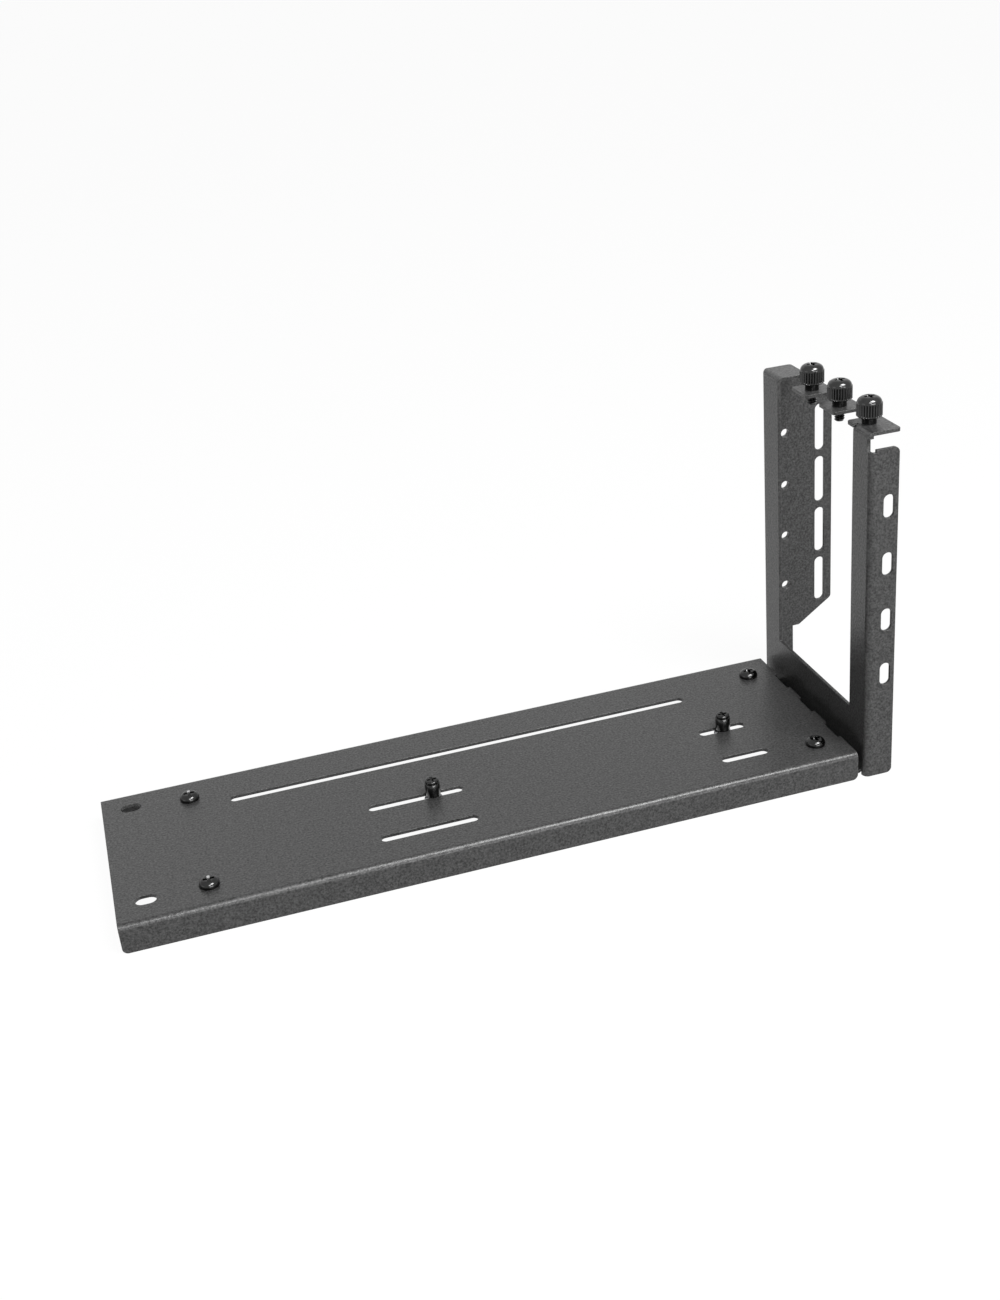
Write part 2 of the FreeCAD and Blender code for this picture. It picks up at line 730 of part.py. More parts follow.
for depth_name, y in rows.items():
    pieces.append(make_plate_screw(f"plate_screw_{depth_name}_left", S["screw_inset_left"], y))
    pieces.append(make_plate_screw(f"plate_screw_{depth_name}_right", screw_right, y))
    pieces.append(make_weld_nut(f"weld_nut_{depth_name}", y))
    pieces.append(make_standoff(f"foot_standoff_{depth_name}", y))

for position, y in zip(("front", "middle", "back"), thumb_rows):
    pieces.append(make_thumb_screw(f"thumb_screw_{position}", y))

for side, x in (("left", S["left_post_centre"]), ("right", S["plate_length"] - S["right_post_inset"])):
    y = post_rows[1]
    pieces.append(make_post(f"riser_post_{side}", x, y))
    pieces.append(make_post_screw(f"post_screw_{side}", x, y))
    pieces.append(make_washer(f"post_washer_{side}", x, y))
    pieces.append(make_post_nut(f"post_nut_{side}", x, y))

doc.recompute()

for item in doc.Objects:
    if "Invalid" in item.State or "Error" in item.State:
        raise RuntimeError(f"{item.Label} did not build: {item.State}")

os.makedirs("parts", exist_ok=True)
for piece in pieces:
    shape = piece.Shape
    if shape.isNull() or not shape.isValid() or len(shape.Solids) != 1:
        raise RuntimeError(f"{piece.Label} is not one sound solid")
    shape.exportStep(os.path.join("parts", piece.Label + ".step"))
    box = shape.BoundBox
    print(f"{piece.Label:26s} {shape.Volume:10.2f} mm3  "
          f"x {box.XMin:8.2f} {box.XMax:8.2f}  y {box.YMin:7.2f} {box.YMax:7.2f}  z {box.ZMin:7.2f} {box.ZMax:7.2f}")
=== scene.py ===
# %% [markdown]
# # A graphics card support bracket
#
# The object is a folded steel plate with an open upright at its right end. Three thumbscrews stand on the
# upright's comb top, four pan-head screws hold the sheets together, and two short posts slide in the slots.
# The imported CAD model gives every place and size. This file dresses it: soft arrises and true arcs on the
# sheets, knurls, threads and cross recesses on the fasteners, and a material for each finish.

# %% Load the fixed frame
import math

import bmesh
import bpy
from mathutils import Matrix, Vector


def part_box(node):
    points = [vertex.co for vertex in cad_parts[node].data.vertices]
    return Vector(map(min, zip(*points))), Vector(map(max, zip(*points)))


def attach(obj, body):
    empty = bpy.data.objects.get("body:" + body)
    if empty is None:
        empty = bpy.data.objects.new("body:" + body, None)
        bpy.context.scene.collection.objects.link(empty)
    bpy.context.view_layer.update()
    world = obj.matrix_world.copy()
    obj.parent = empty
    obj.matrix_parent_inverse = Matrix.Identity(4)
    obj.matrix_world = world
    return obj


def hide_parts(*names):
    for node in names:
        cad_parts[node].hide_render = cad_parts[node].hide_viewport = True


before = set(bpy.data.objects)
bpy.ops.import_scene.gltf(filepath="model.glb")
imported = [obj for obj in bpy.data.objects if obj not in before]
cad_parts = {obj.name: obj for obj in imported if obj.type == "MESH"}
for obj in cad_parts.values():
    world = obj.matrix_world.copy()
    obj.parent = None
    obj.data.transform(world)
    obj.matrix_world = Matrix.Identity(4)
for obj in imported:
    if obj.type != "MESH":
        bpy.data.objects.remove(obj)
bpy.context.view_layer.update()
MM = 0.001

# %% [markdown]
# ## Writing node trees as sums
#
# A finish is easier to read as a formula than as a heap of nodes and wires. The small class below wraps one
# output socket, so that `0.5 + grain * 0.2` adds the Math nodes by itself. Colours and vectors go through
# their own nodes, because a Math node would turn a colour grey. The same helper writes Geometry Nodes.


# %% A socket that can be added and multiplied
class Value:
    """One output of a node tree, which Python can use in sums."""

    def __init__(self, graph, socket):
        self.graph = graph
        self.socket = socket

    def maths(self, operation, *others):
        """A Math node on this value and others."""
        return self.graph.add("ShaderNodeMath", {"operation": operation}, dict(enumerate((self, *others))))

    def reflected(self, operation, other):
        """The same with a plain number in front of this value."""
        return self.graph.add("ShaderNodeMath", {"operation": operation}, {0: other, 1: self})

    def clamped(self):
        """The value kept between 0 and 1."""
        return self.maths("MAXIMUM", 0.0).maths("MINIMUM", 1.0)

    def __add__(self, other):
        return self.maths("ADD", other)

    def __mul__(self, other):
        return self.maths("MULTIPLY", other)

    def __sub__(self, other):
        return self.maths("SUBTRACT", other)

    def __rsub__(self, other):
        return self.reflected("SUBTRACT", other)

    def __truediv__(self, other):
        return self.maths("DIVIDE", other)

    def __rtruediv__(self, other):
        return self.reflected("DIVIDE", other)

    def __neg__(self):
        return self * -1.0

    __radd__ = __add__
    __rmul__ = __mul__


class Graph:
    """A node tree with one method that adds any node."""

    def __init__(self, tree):
        self.tree = tree

    def add(self, kind, settings=None, inputs=None, output=0):
        """Adds a node, sets it up and gives one of its outputs."""
        node = self.tree.nodes.new(kind)
        for name, value in (settings or {}).items():
            setattr(node, name, value)
        for key, value in (inputs or {}).items():
            if isinstance(value, Value):
                self.tree.links.new(value.socket, node.inputs[key])
            else:
                node.inputs[key].default_value = value
        return Value(self, node.outputs[output])

    def feed(self, value, target):
        """Links a value to a socket of a node that is already there."""
        self.tree.links.new(value.socket, target)


def new_finish(name):
    """An empty material, its graph and its surface shader."""
    material = bpy.data.materials.new(name)
    material.use_nodes = True
    graph = Graph(material.node_tree)
    return material, graph, material.node_tree.nodes["Principled BSDF"]


def grey(level):
    """A neutral colour."""
    return (level, level, level, 1.0)


MIX_FACTOR, MIX_FIRST, MIX_SECOND, MIX_RESULT = 0, 6, 7, 2


def blend(graph, factor, first, second):
    """A mix of two colours."""
    settings = {"data_type": "RGBA", "clamp_factor": True}
    inputs = {MIX_FACTOR: factor, MIX_FIRST: first, MIX_SECOND: second}
    return graph.add("ShaderNodeMix", settings, inputs, output=MIX_RESULT)


# %% [markdown]
# ## Powder coat
#
# The sheets carry a fine-textured black powder coat. It melts into a skin of tiny grains, each somewhat under
# a millimetre across, that catch the light one by one. Noise gives the grains their height for a Bump node, and
# moves the colour, the roughness and the clear skin's share with them. A wider noise adds faint patches. Both
# read Object coordinates, so the grain has one size on every piece. The coat is set darker than it looks in the
# photograph, because it also mirrors the pale room around it.

# %% Powder coat material
GRAIN = 0.75 * MM
PATCH = 2.6 * MM
BUMP_HEIGHT = 0.20 * MM
COAT_DARK = grey(0.012)
COAT_PALE = grey(0.038)
COAT_GLOSS = 0.24
SKIN_ROUGHNESS = 0.28


def powder_coat():
    """The grained black coat of the sheets."""
    material, graph, shader = new_finish("powder_coat_black")
    place = graph.add("ShaderNodeTexCoord", output="Object")
    grains = graph.add("ShaderNodeTexNoise", inputs={
        "Vector": place, "Scale": 1 / GRAIN, "Detail": 2.5, "Roughness": 0.62,
    })
    cells = graph.add("ShaderNodeTexVoronoi", {"feature": "SMOOTH_F1"}, {
        "Vector": place, "Scale": 0.8 / GRAIN, "Smoothness": 0.6,
    })
    patches = graph.add("ShaderNodeTexNoise", inputs={"Vector": place, "Scale": 1 / PATCH, "Detail": 2.0})
    height = grains * 0.7 + (1.0 - cells) * 0.3
    tone = (grains - 0.5) * 2.4 + (patches - 0.5) * 0.8 + 0.5
    bump = graph.add("ShaderNodeBump", inputs={"Strength": 0.55, "Distance": BUMP_HEIGHT, "Height": height})
    graph.feed(blend(graph, tone, COAT_DARK, COAT_PALE), shader.inputs["Base Color"])
    graph.feed(0.30 + grains * 0.12, shader.inputs["Roughness"])
    graph.feed(((grains - 0.5) * 1.2 + 0.2).clamped(), shader.inputs["Coat Weight"])
    graph.feed(bump, shader.inputs["Normal"])
    shader.inputs["Specular IOR Level"].default_value = COAT_GLOSS
    shader.inputs["Coat Roughness"].default_value = SKIN_ROUGHNESS
    return material


COAT = powder_coat()
print("powder coat, grains of", round(GRAIN / MM, 2), "mm")

# %% [markdown]
# ## Plated fasteners
#
# The screws and posts have a glossy black plating over turned steel, a shade paler on the thumbscrews. The metal
# is nearly black, so most of what one sees is its sharp reflections. Fine turning marks round the axis and a
# faint cloudiness keep them from looking like glass. The nuts and washers under the plate and the standoffs are
# zinc plated instead.

# %% Plating materials
CLOUD = 1.7 * MM
MARK_DEPTH = 0.02 * MM
MARK_STRETCH = 0.15


def plating(name, dark, pale, roughness, spread, marks):
    """A metal with a cloudy colour and roughness and fine level turning marks, marks apart."""
    material, graph, shader = new_finish(name)
    place = graph.add("ShaderNodeTexCoord", output="Object")
    clouds = graph.add("ShaderNodeTexNoise", inputs={"Vector": place, "Scale": 1 / CLOUD, "Detail": 3.0})
    stretch = graph.add("ShaderNodeVectorMath", {"operation": "MULTIPLY"}, {
        0: place, 1: (MARK_STRETCH / marks, MARK_STRETCH / marks, 1 / marks),
    })
    turning = graph.add("ShaderNodeTexNoise", inputs={"Vector": stretch, "Scale": 1.0, "Detail": 2.0})
    bump = graph.add("ShaderNodeBump", inputs={"Strength": 0.12, "Distance": MARK_DEPTH, "Height": turning})
    graph.feed(blend(graph, clouds, dark, pale), shader.inputs["Base Color"])
    graph.feed(roughness + (clouds - 0.5) * spread, shader.inputs["Roughness"])
    graph.feed(bump, shader.inputs["Normal"])
    shader.inputs["Metallic"].default_value = 1.0
    return material


ZINC_DARK = (0.50, 0.51, 0.53, 1.0)
ZINC_PALE = (0.62, 0.63, 0.64, 1.0)
BLACK_PLATING = plating("plating_black", grey(0.028), grey(0.045), roughness=0.15, spread=0.07, marks=0.09 * MM)
KNOB_PLATING = plating("plating_knob", grey(0.035), grey(0.06), roughness=0.15, spread=0.07, marks=0.09 * MM)
ZINC_PLATING = plating("plating_zinc", ZINC_DARK, ZINC_PALE, roughness=0.34, spread=0.16, marks=0.08 * MM)
print("platings:", BLACK_PLATING.name, KNOB_PLATING.name, ZINC_PLATING.name)

# %% [markdown]
# ## Sheets with true arcs and soft arrises
#
# The CAD model reaches this file as flat triangles: a bend is three or four flat strips, and every edge is as
# sharp as a knife. Real sheet is bent smoothly, and the coat rounds each cut edge. Each sheet is copied, its
# flat triangles are joined, each curved wall is split into finer strips whose new points move out to the true
# arc, and a narrow Bevel rounds the sharp edges. Beside a few small reliefs the neighbouring edges are too short
# for it, so a bevel weight leaves those out. Weighted normals keep the large faces flat in the light.

# %% Finer arcs for a copied CAD piece
FLAT = math.radians(0.6)
SMALLEST_TURN = math.radians(2.0)
LARGEST_TURN = math.radians(40.0)
FINE_TURN = math.radians(6.0)
LONGEST_STRIP = 2.2 * MM
NEAR = 0.004 * MM
SAME_POINT = 0.001 * MM
PARALLEL = 1e-3
IN_LINE = 1e-12


def soft_edges(mesh):
    """Edges where a curved wall turns from one strip to the next."""
    return {e for e in mesh.edges if len(e.link_faces) == 2
            and SMALLEST_TURN < e.calc_face_angle(0.0) < LARGEST_TURN}


def side_gap(first, second):
    """How far apart two level edges are, square to their run."""
    run = (first.verts[1].co - first.verts[0].co).normalized()
    step = second.verts[0].co - first.verts[0].co
    return (step - run * step.dot(run)).length


def curved_strips(mesh):
    """Strips between two parallel soft edges, as (face, first edge, second edge)."""
    soft = soft_edges(mesh)
    strips = []
    for face in mesh.faces:
        ends = [e for e in face.edges if e in soft]
        if len(ends) != 2:
            continue
        runs = [(e.verts[1].co - e.verts[0].co).normalized() for e in ends]
        if abs(abs(runs[0].dot(runs[1])) - 1) < PARALLEL and side_gap(*ends) < LONGEST_STRIP:
            strips.append((face, *ends))
    return strips


def circle_through(a, b, c):
    """Centre and radius of the circle through three points of a plane."""
    area = 2 * (a.x * (b.y - c.y) + b.x * (c.y - a.y) + c.x * (a.y - b.y))
    if abs(area) < IN_LINE:
        return None
    aa, bb, cc = a.length_squared, b.length_squared, c.length_squared
    x = (aa * (b.y - c.y) + bb * (c.y - a.y) + cc * (a.y - b.y)) / area
    y = (aa * (c.x - b.x) + bb * (a.x - c.x) + cc * (b.x - a.x)) / area
    centre = Vector((x, y))
    return centre, (a - centre).length


def flat_basis(axis):
    """Two directions square to an axis."""
    side = axis.orthogonal().normalized()
    return side, axis.cross(side)


def arcs_of(strips):
    """For each strip its face, axis, two directions, ends, centre and radius, found from the strip beside it."""
    neighbours = {}
    for index, (_, *ends) in enumerate(strips):
        for edge in ends:
            neighbours.setdefault(edge, []).append(index)
    jobs = []
    for index, (face, first, second) in enumerate(strips):
        axis = (first.verts[1].co - first.verts[0].co).normalized()
        side, up = flat_basis(axis)
        corners = [first, second]
        for edge in (first, second):
            for other in neighbours[edge]:
                if other != index:
                    corners += [e for e in strips[other][1:] if e is not edge]
        points = [Vector((e.verts[0].co.dot(side), e.verts[0].co.dot(up))) for e in corners[:3]]
        found = circle_through(*points) if len(points) == 3 else None
        if found:
            jobs.append((face, axis, side, up, points[0], points[1], *found))
    return jobs


def true_arcs(mesh):
    """Splits the strips of each curved wall and moves the new points to the wall's circle."""
    jobs = arcs_of(curved_strips(mesh))
    for face, axis, side, up, start, end, middle, radius in jobs:
        turn = (start - middle).angle_signed(end - middle)
        cuts = math.ceil(abs(turn) / FINE_TURN)
        origin = side * middle.x + up * middle.y
        part = [face, *face.edges, *face.verts]
        for cut in range(1, cuts):
            angle = -turn * cut / cuts
            spoke = Matrix.Rotation(angle, 2) @ (start - middle)
            direction = (side * spoke.x + up * spoke.y).normalized()
            result = bmesh.ops.bisect_plane(
                mesh, geom=part, dist=NEAR, plane_co=origin, plane_no=axis.cross(direction),
            )
            part = result["geom"]
            for vertex in (item for item in result["geom_cut"] if isinstance(item, bmesh.types.BMVert)):
                out = vertex.co - origin
                level = axis * out.dot(axis)
                vertex.co = origin + level + (out - level).normalized() * radius
    return len(jobs)


# %% Copying and softening a sheet
ARRIS = 0.14 * MM
ARRIS_SEGMENTS = 3
ARRIS_ANGLE = math.radians(42.0)
NEARLY_STRAIGHT = math.radians(150.0)
SHARE = 0.30
LEAST_SINE = 0.05
FLAT_WEIGHT = 100
WEIGHT_LAYER = "bevel_weight_edge"


def is_sharp(edge):
    """Whether two faces meet at a corner here."""
    return len(edge.link_faces) == 2 and edge.calc_face_angle(0.0) > ARRIS_ANGLE


def has_room(edge, sharp):
    """Whether the edges beside a sharp edge are long enough for an arris."""
    for corner in (item for face in edge.link_faces for item in face.loops if item.vert in edge.verts):
        point = corner.vert
        beside = next(e for e in corner.face.edges if e is not edge and point in e.verts)
        ahead, aside = (e.other_vert(point).co - point.co for e in (edge, beside))
        angle = ahead.angle(aside, math.pi)
        if beside not in sharp:
            room = beside.calc_length() * max(math.sin(angle), LEAST_SINE)
        elif corner.is_convex and angle < NEARLY_STRAIGHT:
            room = min(edge.calc_length(), beside.calc_length()) * math.tan(angle / 2)
        else:
            continue
        if room * SHARE < ARRIS:
            return False
    return True


def linked(name, data):
    """A mesh as an object of the scene."""
    piece = bpy.data.objects.new(name, data)
    bpy.context.scene.collection.objects.link(piece)
    return piece


def softened(node, name):
    """A copy of a CAD node with fine arcs and rounded arrises."""
    data = bpy.data.meshes.new(name)
    mesh = bmesh.new()
    mesh.from_mesh(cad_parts[node].data)
    bmesh.ops.remove_doubles(mesh, verts=mesh.verts, dist=SAME_POINT)
    bmesh.ops.dissolve_limit(mesh, angle_limit=FLAT, verts=mesh.verts, edges=mesh.edges)
    walls = true_arcs(mesh)
    weight = mesh.edges.layers.float.new(WEIGHT_LAYER)
    sharp = {edge for edge in mesh.edges if is_sharp(edge)}
    roomy = [edge for edge in sharp if has_room(edge, sharp)]
    for edge in roomy:
        edge[weight] = 1.0
    print(name, "sharp edges:", len(sharp), "with an arris:", len(roomy))
    mesh.to_mesh(data)
    mesh.free()
    piece = linked(name, data)
    for face in data.polygons:
        face.use_smooth = True
    bevel = piece.modifiers.new("arris", "BEVEL")
    bevel.width = ARRIS
    bevel.segments = ARRIS_SEGMENTS
    bevel.limit_method = "WEIGHT"
    bevel.loop_slide = False
    bevel.use_clamp_overlap = False
    weights = piece.modifiers.new("weights", "WEIGHTED_NORMAL")
    weights.weight = FLAT_WEIGHT
    settle(piece)
    piece.data.attributes.remove(piece.data.attributes[WEIGHT_LAYER])
    print(name, "curved strips:", walls, "faces:", len(piece.data.polygons))
    return piece


def settle(piece):
    """Turns an object with modifiers into a plain mesh."""
    graph = bpy.context.evaluated_depsgraph_get()
    done = bpy.data.meshes.new_from_object(piece.evaluated_get(graph), depsgraph=graph)
    done.name = piece.name
    piece.modifiers.clear()
    piece.data = done


def dress(piece, material, body, node):
    """Gives a piece its material and body, and hides the CAD node that it stands for."""
    piece.data.materials.clear()
    piece.data.materials.append(material)
    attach(piece, body)
    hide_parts(node)
    return piece


SHEETS = {
    "base_plate": "plate_sheet",
    "upright_bracket": "upright_sheet",
    "underside_strap": "strap_bar",
}
for node, name in SHEETS.items():
    dress(softened(node, name), COAT, "frame", node)

# %% [markdown]
# ## Turned pieces
#
# Every screw, post, nut and washer starts as a turned profile: a list of radius and height, swept once round
# the axis. One function makes the mesh with closed poles. A wall that isn't round, such as a hexagon or a
# knurled rim, gives a function that says how far out each point stands at its angle.

# %% Sweep a profile round an axis
TURN = 2 * math.pi
CORNER_ANGLE = math.radians(50.0)


def turned(name, profile, centre, steps, shape=None, ring=False):
    """A closed turned mesh. profile is (radius, height) pairs from the bottom up, ring closes it round a bore."""
    verts = []
    rings = []
    for radius, height in profile:
        if radius == 0:
            rings.append([len(verts)])
            verts.append((centre.x, centre.y, height))
            continue
        row = []
        for step in range(steps):
            angle = TURN * step / steps
            out = shape(radius, angle) if shape else radius
            row.append(len(verts))
            verts.append((centre.x + out * math.cos(angle), centre.y + out * math.sin(angle), height))
        rings.append(row)
    pairs = list(zip(rings, rings[1:]))
    if ring:
        pairs.append((rings[-1], rings[0]))
    faces = []
    for low, high in pairs:
        for step in range(steps):
            following = (step + 1) % steps
            if len(low) == 1:
                faces.append((low[0], high[following], high[step]))
            elif len(high) == 1:
                faces.append((low[step], low[following], high[0]))
            else:
                faces.append((low[step], low[following], high[following], high[step]))
    data = bpy.data.meshes.new(name)
    data.from_pydata(verts, [], faces)
    mesh = bmesh.new()
    mesh.from_mesh(data)
    bmesh.ops.recalc_face_normals(mesh, faces=mesh.faces)
    mesh.to_mesh(data)
    mesh.free()
    data.set_sharp_from_angle(angle=CORNER_ANGLE)
    return linked(name, data)


def quarter(start, end, count):
    """Points of a quarter ellipse that leaves start upwards and reaches end level, without the start."""
    points = []
    for index in range(1, count + 1):
        angle = TURN / 4 * index / count
        points.append((end[0] + (start[0] - end[0]) * math.cos(angle),
                       start[1] + (end[1] - start[1]) * math.sin(angle)))
    return points


# %% [markdown]
# ## Threads and knurls with Geometry Nodes
#
# A thread is a groove that follows a helix, and a knurl is a rib that repeats round the rim. Both are rules,
# so a small Geometry Nodes tree moves the points of a turned blank in or out: the thread by a wave of height
# and angle together, the straight knurl by a wave of the angle alone. Each tree has named inputs for its sizes.


# %% Trees that cut a thread or a knurl
WAVE_RUN_OUT = 0.7


def new_tree(name, sizes):
    """A Geometry Nodes tree with a mesh, a centre, the named sizes and a material as inputs."""
    tree = bpy.data.node_groups.new(name, "GeometryNodeTree")
    tree.interface.new_socket("Geometry", in_out="INPUT", socket_type="NodeSocketGeometry")
    tree.interface.new_socket("Geometry", in_out="OUTPUT", socket_type="NodeSocketGeometry")
    tree.interface.new_socket("Centre", in_out="INPUT", socket_type="NodeSocketVector")
    for size in sizes:
        tree.interface.new_socket(size, in_out="INPUT", socket_type="NodeSocketFloat")
    tree.interface.new_socket("Material", in_out="INPUT", socket_type="NodeSocketMaterial")
    graph = Graph(tree)
    source = tree.nodes.new("NodeGroupInput")
    given = {socket.name: Value(graph, socket) for socket in source.outputs if socket.name}
    return tree, graph, given


def around(graph, centre):
    """Angle, height, outward direction and radius of each point about the axis."""
    position = graph.add("GeometryNodeInputPosition")
    offset = graph.add("ShaderNodeVectorMath", {"operation": "SUBTRACT"}, {0: position, 1: centre})
    split = graph.add("ShaderNodeSeparateXYZ", inputs={0: offset}).socket.node
    x, y, z = (Value(graph, socket) for socket in split.outputs)
    angle = y.maths("ARCTAN2", x)
    level = graph.add("ShaderNodeCombineXYZ", inputs={0: x, 1: y})
    outward = graph.add("ShaderNodeVectorMath", {"operation": "NORMALIZE"}, {0: level})
    radius = graph.add("ShaderNodeVectorMath", {"operation": "LENGTH"}, {0: level}, output="Value")
    return angle, z, outward, radius


def saw(phase):
    """A wave that falls from 1 to 0 and climbs back to 1 in each turn of its phase."""
    return (phase.maths("FRACT") - 0.5).maths("ABSOLUTE") * 2.0


def sink(tree, graph, given, outward, depth):
    """Moves the points inwards by a depth, realizes them and sets their material, which ends the tree."""
    move = graph.add("ShaderNodeVectorMath", {"operation": "SCALE"}, {0: outward, "Scale": -depth})
    moved = graph.add("GeometryNodeSetPosition", inputs={"Geometry": given["Geometry"], "Offset": move})
    real = graph.add("GeometryNodeRealizeInstances", inputs={"Geometry": moved})
    painted = graph.add("GeometryNodeSetMaterial", inputs={"Geometry": real, "Material": given["Material"]})
    target = tree.nodes.new("NodeGroupOutput")
    tree.links.new(painted.socket, target.inputs[0])
    return tree


def thread_tree():
    """A V-groove along a helix, between two heights and only on the outer skin."""
    sizes = ("Pitch", "Depth", "Bottom", "Top", "Skin")
    tree, graph, given = new_tree("screw_thread", sizes)
    angle, height, outward, radius = around(graph, given["Centre"])
    wave = saw(height / given["Pitch"] - angle / TURN)
    fade = given["Pitch"] * WAVE_RUN_OUT
    inside = ((height - given["Bottom"]) / fade).maths("MINIMUM", (given["Top"] - height) / fade).clamped()
    on_skin = radius.maths("GREATER_THAN", given["Skin"])
    return sink(tree, graph, given, outward, (1.0 - wave) * given["Depth"] * inside * on_skin)


def knurl_tree():
    """Upright ribs round a rim, which fade out at both of its edges."""
    sizes = ("Count", "Depth", "Bottom", "Top", "Fade", "Skin")
    tree, graph, given = new_tree("rim_knurl", sizes)
    angle, height, outward, radius = around(graph, given["Centre"])
    groove = saw(angle / TURN * given["Count"])
    fade = given["Fade"]
    inside = ((height - given["Bottom"]) / fade).maths("MINIMUM", (given["Top"] - height) / fade).clamped()
    on_skin = radius.maths("GREATER_THAN", given["Skin"])
    return sink(tree, graph, given, outward, groove * groove * given["Depth"] * inside * on_skin)


THREAD = thread_tree()
KNURL = knurl_tree()
print("trees:", THREAD.name, len(THREAD.nodes), "nodes,", KNURL.name, len(KNURL.nodes), "nodes")


def run_tree(piece, tree, **values):
    """Runs a tree on a piece with its inputs set by their identifiers."""
    modifier = piece.modifiers.new(tree.name, "NODES")
    modifier.node_group = tree
    for item in tree.interface.items_tree:
        if item.in_out == "INPUT" and item.name in values:
            modifier[item.identifier] = values[item.name]


# %% [markdown]
# ## Cross recesses
#
# A cross recess has four arms that narrow towards its foot. It is cut with a Boolean: a tapered cross is
# built as a closed solid, taken away from the head, and deleted. Each step of the taper is a share of the depth
# and the share of the cross's reach that is left there.


# %% Cut a cross recess into a head
CUTTER_ABOVE = 0.4 * MM
WIDER_ABOVE = 1.08
NARROWING = ((0.75, 0.62), (1.0, 0.25))
THINNEST_ARM = 0.45
HEAD_ANGLE = math.radians(45.0)


def cross_outline(reach, half):
    """Twelve corners of a cross, in order."""
    quarter_turn = [(reach, -half), (reach, half), (half, half)]
    corners = []
    for step in range(4):
        turn = Matrix.Rotation(TURN / 4 * step, 2)
        corners += [turn @ Vector(corner) for corner in quarter_turn]
    return corners


def cut_recess(piece, centre, top, reach, half, depth):
    """Sinks a tapered cross into a piece, from the height top downwards."""
    layers = [(top + CUTTER_ABOVE, WIDER_ABOVE), (top, 1.0)]
    layers += [(top - depth * down, share) for down, share in NARROWING]
    mesh = bmesh.new()
    rings = []
    for height, share in layers:
        corners = cross_outline(reach * share, half * (THINNEST_ARM + (1 - THINNEST_ARM) * share))
        rings.append([mesh.verts.new((centre.x + corner.x, centre.y + corner.y, height)) for corner in corners])
    for low, high in zip(rings, rings[1:]):
        for index in range(len(low)):
            following = (index + 1) % len(low)
            mesh.faces.new((low[index], low[following], high[following], high[index]))
    mesh.faces.new(rings[0])
    mesh.faces.new(rings[-1])
    bmesh.ops.recalc_face_normals(mesh, faces=mesh.faces)
    data = bpy.data.meshes.new("recess_cutter")
    mesh.to_mesh(data)
    mesh.free()
    cutter = linked("recess_cutter", data)
    modifier = piece.modifiers.new("recess", "BOOLEAN")
    modifier.operation = "DIFFERENCE"
    modifier.solver = "EXACT"
    modifier.object = cutter
    settle(piece)
    bpy.data.objects.remove(cutter)
    piece.data.set_sharp_from_angle(angle=HEAD_ANGLE)


# %% Places and threads from a node's box
ROWS_PER_PITCH = 8
SKIN_SHARE = 0.98


def place_of(node):
    """Centre of a turned piece, half its width along X, its bottom and its top, from the node's box."""
    low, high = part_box(node)
    middle = (low + high) / 2
    return Vector((middle.x, middle.y, 0)), (high.x - low.x) / 2, low.z, high.z


def threaded_rows(radius, bottom, top, pitch):
    """Profile rows close enough together to carry a thread."""
    count = math.ceil((top - bottom) / pitch * ROWS_PER_PITCH)
    return [(radius, bottom + (top - bottom) * index / count) for index in range(count + 1)]


def shank(radius, bottom, top, pitch, chamfer):
    """Profile of a threaded shank with a chamfered end."""
    return [(0, bottom), (radius - chamfer, bottom), *threaded_rows(radius, bottom + chamfer, top, pitch)]


def cut_thread(piece, centre, radius, bottom, top, pitch, depth, material):
    """Adds the thread between two heights of a shank."""
    run_tree(piece, THREAD, Centre=tuple(centre), Pitch=pitch, Depth=depth, Bottom=bottom, Top=top,
             Skin=radius * SKIN_SHARE, Material=material)


def triangles(pieces):
    """Triangles of some pieces together."""
    for piece in pieces:
        piece.data.calc_loop_triangles()
    return sum(len(piece.data.loop_triangles) for piece in pieces)


# %% [markdown]
# ## Thumbscrews
#
# Each thumbscrew has a knurled rim, a domed crown with a cross recess, and a narrow neck above its thread.
# In the photograph the dome carries two small bright patches and the knurled band below stays nearly black.

# %% Three thumbscrews
COARSE_PITCH = 0.794 * MM
THREAD_RADIUS = 1.74 * MM
THREAD_DEPTH = 0.42 * MM
THREAD_CHAMFER = 0.4 * MM
RECESS_REACH = 1.9 * MM
RECESS_HALF = 0.5 * MM
KNOB_RADIUS = 4.2 * MM
KNOB_CHAMFER = 0.35 * MM
KNOB_RECESS = 1.5 * MM
NECK_RADIUS = 2.4 * MM
NECK_LENGTH = 2.3 * MM
NECK_FLARE = 0.25 * MM
RIM_HEIGHT = 4.5 * MM
RIM_ROWS = 16
KNOB_SKIN_SHARE = 0.99
RIBS = 28
RIB_DEPTH = 0.40 * MM
RIB_FADE = 0.3 * MM
STEPS_PER_RIB = 8
SHOULDER_IN = 0.22 * MM
SHOULDER_UP = 0.16 * MM
DOME_HEIGHT = 2.1 * MM
DOME_FLAT = 1.6 * MM
DOME_ROWS = 9


